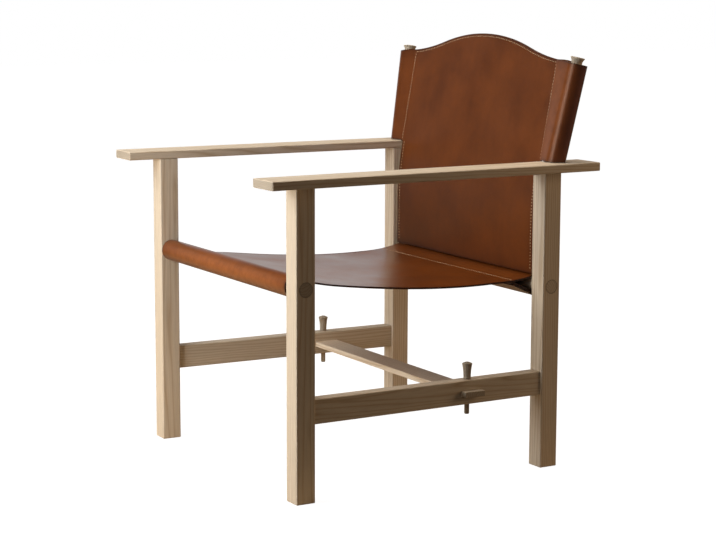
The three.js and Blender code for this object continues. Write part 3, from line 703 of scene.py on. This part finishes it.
def makeSeat():
    path = seatPath()
    run = runLength(path)
    seams = []
    for seamY in (frontRail[0] + seat["frontSeam"], rearRail[0] - seat["rearSeam"]):
        y, z = atDepth(-hide / 2, seamY)
        seams.append(run[np.argmin(np.hypot(path[:, 0] - y, path[:, 1] - z))])
    stations = stationsFor(run[-1], seat["rowStep"], seams)
    line = pointsAt(path, stations)
    after = pointsAt(path, np.clip(stations + 1, 0, run[-1]))
    ahead = after - pointsAt(path, np.clip(stations - 1, 0, run[-1]))
    ahead /= np.linalg.norm(ahead, axis=1)[:, None]
    outward = np.stack([-ahead[:, 1], ahead[:, 0]], -1)
    depth, width = seat["groove"]
    groove = sum(np.exp(-((stations - s) / width) ** 2) for s in seams) * depth
    free = smoothStep((stations - seams[0]) / seat["free"]) * smoothStep((seams[1] - stations) / seat["free"])
    turn, over = seat["curl"]
    curlBegins, curlLength = seat["curlFrom"]
    sagDepth, sagBehind, sagLength, sagWidth = seat["sag"]
    paintedCreaseShade, creaseShadeReach = seat["paintedCreaseShade"]
    points, wearAndShade, bentAndLit = [], [], []
    for (y, z), n, s, dip, loose, pullAndLit in zip(line, outward, stations, groove, free, seatPullUpAndLight(line)):
        half = halfSeat(y)
        across = spread(half)
        lip = np.clip(1 - (half - np.abs(across)) / over, 0, 1) ** 2
        curl = turn * smoothStep((s - seams[0] - curlBegins) / curlLength) * lip
        corner = np.clip(1 - (across + half) / sagWidth, 0, 1) ** 2
        sag = sagDepth * math.exp(-((y - frontRail[0] - sagBehind) / sagLength) ** 2) * corner
        push = loose * (curl + seat["sway"] * swayAt(across, s) - sag) - dip
        points += [(x, y + n[0] * p, z + n[1] * p) for x, p in zip(across, push)]
        fromEdge = np.minimum(half - np.abs(across), min(s, run[-1] - s))
        # painted contact shade on the seat where the back comes down on it
        dark = paintedCreaseShade * math.exp(-abs(y - rearRail[0] + seat["crease"]) / creaseShadeReach) if z > rearRail[1] else 0
        wearAndShade += list(np.maximum(burnish(fromEdge), dark))
        # less at the sides, least on the right, where less light is painted
        bentAndLit += list(pullAndLit * (1 - 0.5 * (across / half) ** 4 + 0.12 * np.minimum(across, 0) / half))
    columns = len(across)
    sheet = cutSheet("seat_hide", points, gridFaces(len(stations), columns), wearAndShade, bentAndLit, seatGrain)
    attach(sheet, "frame")
    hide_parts("seat_leather")
    width = 2 * halfSeat(frontRail[0])
    print("seat hide cut %.0f x %.0f mm" % (width, run[-1]))
    grid = np.array(points).reshape(len(stations), columns, 3)
    normals = surfaceNormals(grid)
    sewn = seams + [seat["flap"], run[-1] - seat["flap"]]
    rows = [np.argmin(np.abs(stations - s)) for s in sewn]
    return [(grid[r, endSeam:-endSeam], normals[r, endSeam:-endSeam]) for r in rows]


# Back: two hides sewn together. The front one wraps each post as a sleeve and is sewn down behind;
# the rear one runs down behind the seat, round its rear roll and forward to the seam under it.
back = {
    "postOut": 6.0,         # post foot from the rear leg's centre
    "postBack": 10.0,
    "postRadius": 14.5,
    "slack": 1.8,           # between post and sleeve
    "beforePost": 11.5,     # front face, ahead of the post's axis
    "sleeveBack": 1.6,      # slack lies behind the post
    "footGap": 2.6,         # between its foot and the seat
    "keeps": (0.45, 0.35),  # how long it stays upright at the foot, and along the posts below the armrest
    "sleeve": (0.7, 180.2),      # lower and upper end above the armrest
    "rimDrop": 4.0,         # sleeve's upper end below the level of the arch's foot
    "archRise": 41.0,
    "stitchIn": 22.0,       # vertical stitching, from the leg's centre
    "flap": 7.0,
    "sideClear": 5.6,
    "landing": 25.0,        # degrees at which the rear hide meets the rear roll
    "fork": 2.2,            # where it leaves the front one, in radii of that roll
    "tailGap": 0.4,         # between the roll and the rear hide's tail
    "tailShare": 0.96,      # of the way from the roll to the seam
    "rearBeyond": 4.0,      # rear hide outside the vertical stitching
    "groove": (0.5, 1.6),   # depth and width
    "sway": 0.45,
    "swayFrom": (12.0, 60.0),    # inside the vertical stitching, and over what width
    "pullUp": 0.32,         # lighter on the left sleeve round its post: a painted highlight
    "paintedShade": (0.42, 170.0, 130.0),   # painted shade low in the right corner: how much, width, height
}
draw = next(j for j in frame["joints"] if j["name"] == "left_post_draw")["axis"]
lean = np.array([draw[0] / draw[2], draw[1] / draw[2]])
legCentre = ((legRearLow + legRearHigh) / 2)[:2]
postFoot = legCentre + (back["postOut"], back["postBack"])
sleeveLow = armTop + back["sleeve"][0]
sleeveHigh = armTop + back["sleeve"][1]
stitchX = legCentre[0] - back["stitchIn"]
lowHalf = betweenLegs(rearRail[0]) - back["sideClear"]
highHalf = postFoot[0] + lean[0] * (sleeveHigh - armTop)
sleeveMiddle = back["postRadius"] + back["slack"] + hide / 2
footY = rearRail[0] - seat["crease"]
footZ = atDepth(back["footGap"], footY)[1]
armY = postFoot[1] - back["beforePost"]


# front face of the back at a height
def faceAt(z):
    upright, along = (share * (armTop - footZ) for share in back["keeps"])
    t = np.linspace(0, 1, 200)
    low = bezier(np.array([footY, footZ]), np.array([footY, footZ + upright]),
                 np.array([armY - lean[1] * along, armTop - along]), np.array([armY, armTop]), t)
    return np.where(z < armTop, np.interp(z, low[:, 1], low[:, 0]), armY + lean[1] * (z - armTop))


# ogee top: two equal arcs on each side
def archAt(x):
    quarter = (highHalf / 2, back["archRise"] / 2)
    bend = (quarter[0] ** 2 + quarter[1] ** 2) / (2 * quarter[1])
    x = np.minimum(np.abs(x), highHalf)
    crown = sleeveHigh + back["archRise"] - bend + np.sqrt(bend ** 2 - np.minimum(x, quarter[0]) ** 2)
    wing = sleeveHigh + bend - np.sqrt(bend ** 2 - np.minimum(highHalf - x, quarter[0]) ** 2)
    return np.where(x < quarter[0], crown, wing)


# one level of the sleeve from inside the stitching: x, and depth behind the front face
def sleeveSection(z):
    lead = 30.0   # mm inside the stitching
    post = (postFoot[0] + lean[0] * (z - armTop), back["beforePost"] + back["sleeveBack"])
    front = (stitchX, hide / 2)
    rear = (stitchX, 2.5 * hide)
    frontTouch = touches(post, sleeveMiddle, front)[1]
    rearTouch = touches(post, sleeveMiddle, rear)[0] + 360
    path = np.concatenate([[(stitchX - lead, hide / 2), front],
                           onCircle(post, sleeveMiddle, np.linspace(frontTouch, rearTouch, 60)),
                           [rear, (stitchX - back["flap"], 2.5 * hide)]])
    run = runLength(path)
    marks = (lead, run[2], run[-3], run[-2], run[-1])
    path = eased(path, 8)
    bend = smoothStep((marks[1] + 6 - runLength(path)) / 14)[1:-1, None]
    for step in range(90):
        path[1:-1] += 0.5 * bend * ((path[:-2] + path[2:]) / 2 - path[1:-1])
    scale = runLength(path)[-1] / run[-1]
    first, touch, leave, second, end = (m * scale for m in marks)
    stations = np.concatenate([
        first - edgeSteps[::-1], first + edgeSteps[1:6], np.linspace(first + 11, touch, 5),
        np.linspace(touch, leave, 28)[1:], np.linspace(leave, second - 9, 6)[1:],
        second + np.array([-6, -3.4, -1.6, -0.7, 0, 0.7, 1.6, 3.4]), [end - 1.0, end],
    ])
    return pointsAt(path, stations)


sleeveLevels = np.linspace(sleeveLow - 12, sleeveHigh + 14, 14)
sleeveSections = np.array([sleeveSection(z) for z in sleeveLevels])
panel = spread(stitchX)
creased = len(edgeSteps) - 1   # columns inside the stitching that a sleeve bends
wrap = sleeveSections[:, creased + 1:]
outer = wrap.shape[1]
onPanel = slice(outer, outer + len(panel))
panelRise = np.linspace(0, 1, 30)[1:]


# lower and upper edge of the sleeved part, by column
def sleevedEdges():
    k = np.arange(outer)
    depth = wrap[len(sleeveLevels) // 2, :, 1] - back["beforePost"]
    out = wrap[-1, :, 0] - postFoot[0] - lean[0] * (sleeveLevels[-1] - armTop)
    rim = sleeveHigh - back["rimDrop"] - depth * lean[1] - out * lean[0]
    stitchTop = archAt(stitchX)
    reach = smoothStep((k - 3) / 8) * smoothStep((outer - 10 - k) / 6)
    wrapTop = stitchTop + reach * (rim - stitchTop)
    wrapLow = sleeveLow + 0.2 - 0.02 * depth
    wrapLow[:3] = sleeveLow - np.array([1.9, 1.5, 0.8])   # inside the armrest's edge
    low = np.concatenate([wrapLow[::-1], np.full(len(panel), sleeveLow), wrapLow])
    top = np.concatenate([wrapTop[::-1], archAt(panel), wrapTop])
    return low, top


# above the armrests: the panel with a sleeve on each side
def sleevedPart(heights):
    grid = np.zeros(heights.shape + (3,))
    for c, z in enumerate(heights.T):
        e = c - outer
        if 0 <= e < len(panel):
            near = min(e, len(panel) - 1 - e)
            bulge = 0.0
            if near <= creased:
                bulge = np.interp(z, sleeveLevels, sleeveSections[:, creased - near, 1]) - hide / 2
            x = panel[e]
            y = faceAt(z) + hide / 2 + bulge
        else:
            k = -1 - e if e < 0 else e - len(panel)
            x = math.copysign(1, e) * np.interp(z, sleeveLevels, wrap[:, k, 0])
            y = armY + lean[1] * (z - armTop) + np.interp(z, sleeveLevels, wrap[:, k, 1])
        grid[:, c] = rowAt(x, y, z)
    return grid


# between the rear legs, wider than the panel
def lowerPart():
    levels = np.concatenate([footZ + edgeSteps[:6], np.linspace(footZ + 11, sleeveLow - 9, 24),
                             sleeveLow - np.array([6, 3, 1.2])])
    halves = stitchX + (lowHalf - stitchX) * smoothStep((sleeveLow - levels) / 3)
    return np.array([rowAt(spread(half), faceAt(z) + hide / 2, z) for half, z in zip(halves, levels)])


# the hides lie unevenly inside their seams
def swayBack(grid, share=1):
    inset, width = back["swayFrom"]
    inside = smoothStep((stitchX - inset - np.abs(grid[..., 0])) / width) * share
    grid[..., 1] += back["sway"] * inside * swayAt(grid[..., 0], grid[..., 2])


# heights of the rows from low up to the arch, closer together below its edge
def heightsTo(top, low, rise):
    inward = edgeSteps[::-1]
    return np.array([low + (top - inward[0] - low) * r for r in rise] + [top - e for e in inward[1:]])


def makeBackFront():
    low, top = sleevedEdges()
    columns = len(top)
    heights = heightsTo(top, low, np.concatenate([[0, 0.006, 0.014], panelRise]))
    upper = sleevedPart(heights)
    lower = lowerPart()
    swayBack(lower)
    swayBack(upper)
    # sewing grooves
    depth, width = back["groove"]
    sunk = np.zeros(heights.shape)
    sunk[:, onPanel] = np.exp(-((top - heights - edgeSteps[endSeam]) / width) ** 2)[:, onPanel]
    seamColumns = (outer, outer + len(panel) - 1)
    for s in seamColumns:
        away = np.linalg.norm(upper - upper[:, s:s + 1], axis=2)
        sunk = np.maximum(sunk, np.exp(-(away / width) ** 2))
    upper -= surfaceNormals(upper) * (sunk * depth)[..., None]
    # both parts in one mesh
    points = np.concatenate([lower.reshape(-1, 3), upper.reshape(-1, 3)])
    start = len(lower) * len(panel)
    joint = start - len(panel)
    faces = gridFaces(len(lower), len(panel))
    faces += [tuple(start + i for i in f) for f in gridFaces(len(heights), columns)]
    for e in range(len(panel) - 1):
        faces.append((joint + e, joint + e + 1, start + outer + e + 1, start + outer + e))
    # burnished edges, dark foot and painted shade in the right corner
    lowEdge = np.minimum(lowHalf - np.abs(lower[..., 0]), 0.5 * (lower[..., 2] - footZ))
    highEdge = heights - low
    highEdge[:, onPanel] = farOff
    fromEnd = np.minimum(np.arange(columns), columns - 1 - np.arange(columns))
    highEdge = np.minimum(np.minimum(highEdge, top - heights), np.where(fromEnd < 2, fromEnd, farOff))
    wearAndShade = burnish(np.concatenate([lowEdge.ravel(), highEdge.ravel()]))
    # painted shade in the right low corner of the back
    dark, wide, tall = back["paintedShade"]
    aside = np.clip(points[:, 0] + lowHalf, 0, None)
    wearAndShade += dark * np.exp(-(aside / wide) ** 2 - ((points[:, 2] - footZ) / tall) ** 2)
    k = np.arange(outer)
    bentAndLit = np.zeros(heights.shape)
    # painted highlight on the left sleeve, fading out where its shaded side begins
    bentAndLit[:, -outer:] = back["pullUp"] * smoothStep((k + 1) / 3) * (1 - 0.85 * smoothStep((k - 12) / 4))
    bentAndLit = np.concatenate([np.zeros(start), bentAndLit.ravel()])
    sheet = cutSheet("back_front_hide", points, faces, wearAndShade, bentAndLit, backGrain)
    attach(sheet, "frame")
    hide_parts("back_leather")
    width = 2 * (stitchX + runLength(sleeveSections[len(sleeveLevels) // 2])[-1] - edgeSteps[-1])
    # sleeve seams, arch, sleeve flaps behind, sides below the armrests
    archRow = len(heights) - 1 - endSeam
    flapSeam = 5   # column, from the flap's cut edge
    sewn = [np.s_[2:archRow, s] for s in seamColumns] + [np.s_[archRow, onPanel]]
    sewn += [np.s_[2:-endSeam, c] for c in (flapSeam, -1 - flapSeam)]
    normals = surfaceNormals(upper)
    lines = [(upper[s], normals[s]) for s in sewn]
    normals = surfaceNormals(lower)
    lines += [(lower[sideSeam:, e], normals[sideSeam:, e]) for e in (sideSeam, -1 - sideSeam)]
    return lines


def backRearPath():
    middle = rollRadius + back["tailGap"] + hide / 2
    fork = rearRail[1] + back["fork"] * rollRadius + hide
    seam = atDepth(-1.5 * hide, rearRail[0] - seat["rearSeam"])
    touch = touches(rearRail, rollRadius - hide / 2, seam)[1] - 360
    lands = onCircle(rearRail, middle, back["landing"])
    landing = math.radians(back["landing"])
    reach = 0.4 * (fork - lands[1])
    swing = np.array([math.sin(landing), -math.cos(landing)]) * reach
    under = onCircle(rearRail, middle, touch)
    tail = (seam - onCircle(rearRail, rollRadius - hide / 2, touch)) * back["tailShare"]
    hang = np.array([float(faceAt(fork)) + 1.5 * hide, fork])
    z = np.linspace(fork, sleeveLow, 60)[1:]
    return eased(np.concatenate([
        [under + tail],
        onCircle(rearRail, middle, np.linspace(touch, back["landing"], 60)),
        bezier(lands, lands - swing, hang - (0, reach), hang, np.linspace(0, 1, 40))[1:],
        np.stack([faceAt(z) + 1.5 * hide, z], -1),
    ]), 8)


def makeBackRear():
    path = backRearPath()
    run = runLength(path)
    stations = np.concatenate([edgeSteps[:6], np.linspace(11, run[-1], int(run[-1] / 6))])
    rows = [rowAt(spread(lowHalf), y, z) for y, z in pointsAt(path, stations)]
    half = stitchX + back["rearBeyond"]
    x = spread(half)
    top = archAt(x)
    heights = heightsTo(top, sleeveLow, panelRise)
    rows += [rowAt(x, faceAt(z) + 1.5 * hide, z) for z in heights]
    grid = np.array(rows)
    swayBack(grid, smoothStep((grid[..., 2] - rearRail[1] - 60) / 60))   # none round the roll
    faces = [f[::-1] for f in gridFaces(len(rows), len(x))]
    tailEdge = np.minimum(lowHalf - np.abs(grid[:len(stations), :, 0]), stations[:, None])
    fromEdge = np.clip(np.concatenate([tailEdge, top - heights]), 0, farOff)
    wearAndShade = burnish(fromEdge).ravel()
    sheet = cutSheet("back_rear_hide", grid.reshape(-1, 3), faces, wearAndShade, np.zeros(wearAndShade.size), backGrain)
    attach(sheet, "frame")
    normals = -surfaceNormals(grid)
    sewn = [np.s_[-1 - endSeam]] + [np.s_[sideSeam:len(stations), e] for e in (sideSeam, -1 - sideSeam)]
    return [(grid[s], normals[s]) for s in sewn]


# Saddle stitching: waxed thread, each stitch slightly aslant and half sunk in its groove, dark holes between
# in painted shade
stitch = {
    "pitch": 5.7,              # mm, as are all sizes here
    "length": 2.3,
    "width": 1.8,
    "height": 1.2,
    "slant": 16.0,             # degrees
    "sunk": 0.05,
    "hole": (3.1, 2.0, 0.3),   # length, width, height of the dark dimple, painted shade of the hole
    "holeSunk": 0.15,
}


def sew(name, lines):
    sides = 8
    turn = np.linspace(0, 2 * math.pi, sides, endpoint=False)
    circle = np.stack([np.cos(turn), np.sin(turn)], -1)
    # one stitch: rings along the thread, fat in the middle
    places = [-1, -0.86, -0.5, 0.5, 0.86, 1]
    fat = [0.25, 0.75, 1, 1, 0.75, 0.25]
    body = np.array([(p, f * c, f * s) for p, f in zip(places, fat) for c, s in circle])
    body *= np.array([stitch["length"], stitch["width"], stitch["height"]]) / 2
    # one hole: a low dimple, dark with painted shade
    length, width, height = stitch["hole"]
    ring = np.array([(c * length / 2, s * width / 2, 0) for c, s in circle])
    hole = np.concatenate([ring - (0, 0, height), ring * 0.7 + (0, 0, height)])

    def tubeFaces(rings):
        around = [(j, (j + 1) % sides) for j in range(sides)]
        walls = [(r + a, r + b, r + sides + b, r + sides + a)
                 for r in range(0, (rings - 1) * sides, sides) for a, b in around]
        last = (rings - 1) * sides
        return walls + [tuple(range(sides))[::-1], tuple(range(last, last + sides))]

    shapes = ((body, tubeFaces(len(places)), stitch["sunk"]), (hole, tubeFaces(2), stitch["holeSunk"]))
    lie = math.radians(stitch["slant"])
    points, faces, finishes = [], [], []
    sewn = 0
    for line, normals in lines:
        run = runLength(line)
        count = int(run[-1] / stitch["pitch"])
        step = run[-1] / count
        for k in range(2 * count):
            at = (k / 2 + 0.5) * step
            if at > run[-1] - 0.3 * step:
                continue
            n = np.array([np.interp(at, run, normals[:, i]) for i in range(3)])
            n = n / np.linalg.norm(n)
            t = np.diff(pointsAt(line, [max(at - 1, 0), min(at + 1, run[-1])]), axis=0)[0]
            t = t - n * np.dot(t, n)
            t = t / np.linalg.norm(t)
            b = np.cross(n, t)
            lying = t * math.cos(lie) + b * math.sin(lie)
            aslant = np.array([lying, np.cross(n, lying), n])
            shape, shell, sunk = shapes[k % 2]
            start = len(points)
            points += list(pointsAt(line, [at])[0] + n * (hide / 2 - sunk) + shape @ aslant)
            faces += [tuple(start + i for i in f) for f in shell]
            finishes += [k % 2] * len(shell)
            sewn += 1 - k % 2
    mesh = bpy.data.meshes.new(name)
    mesh.from_pydata([tuple(p) for p in np.array(points) * mm], [], faces)
    mesh.shade_smooth()
    mesh.materials.append(linen)
    mesh.materials.append(edge)
    mesh.polygons.foreach_set("material_index", finishes)
    made = bpy.data.objects.new(name, mesh)
    scene.collection.objects.link(made)
    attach(made, "frame")
    print(name, sewn, "stitches")


sew("seat_stitching", makeSeat())
sew("back_stitching", makeBackFront() + makeBackRear())
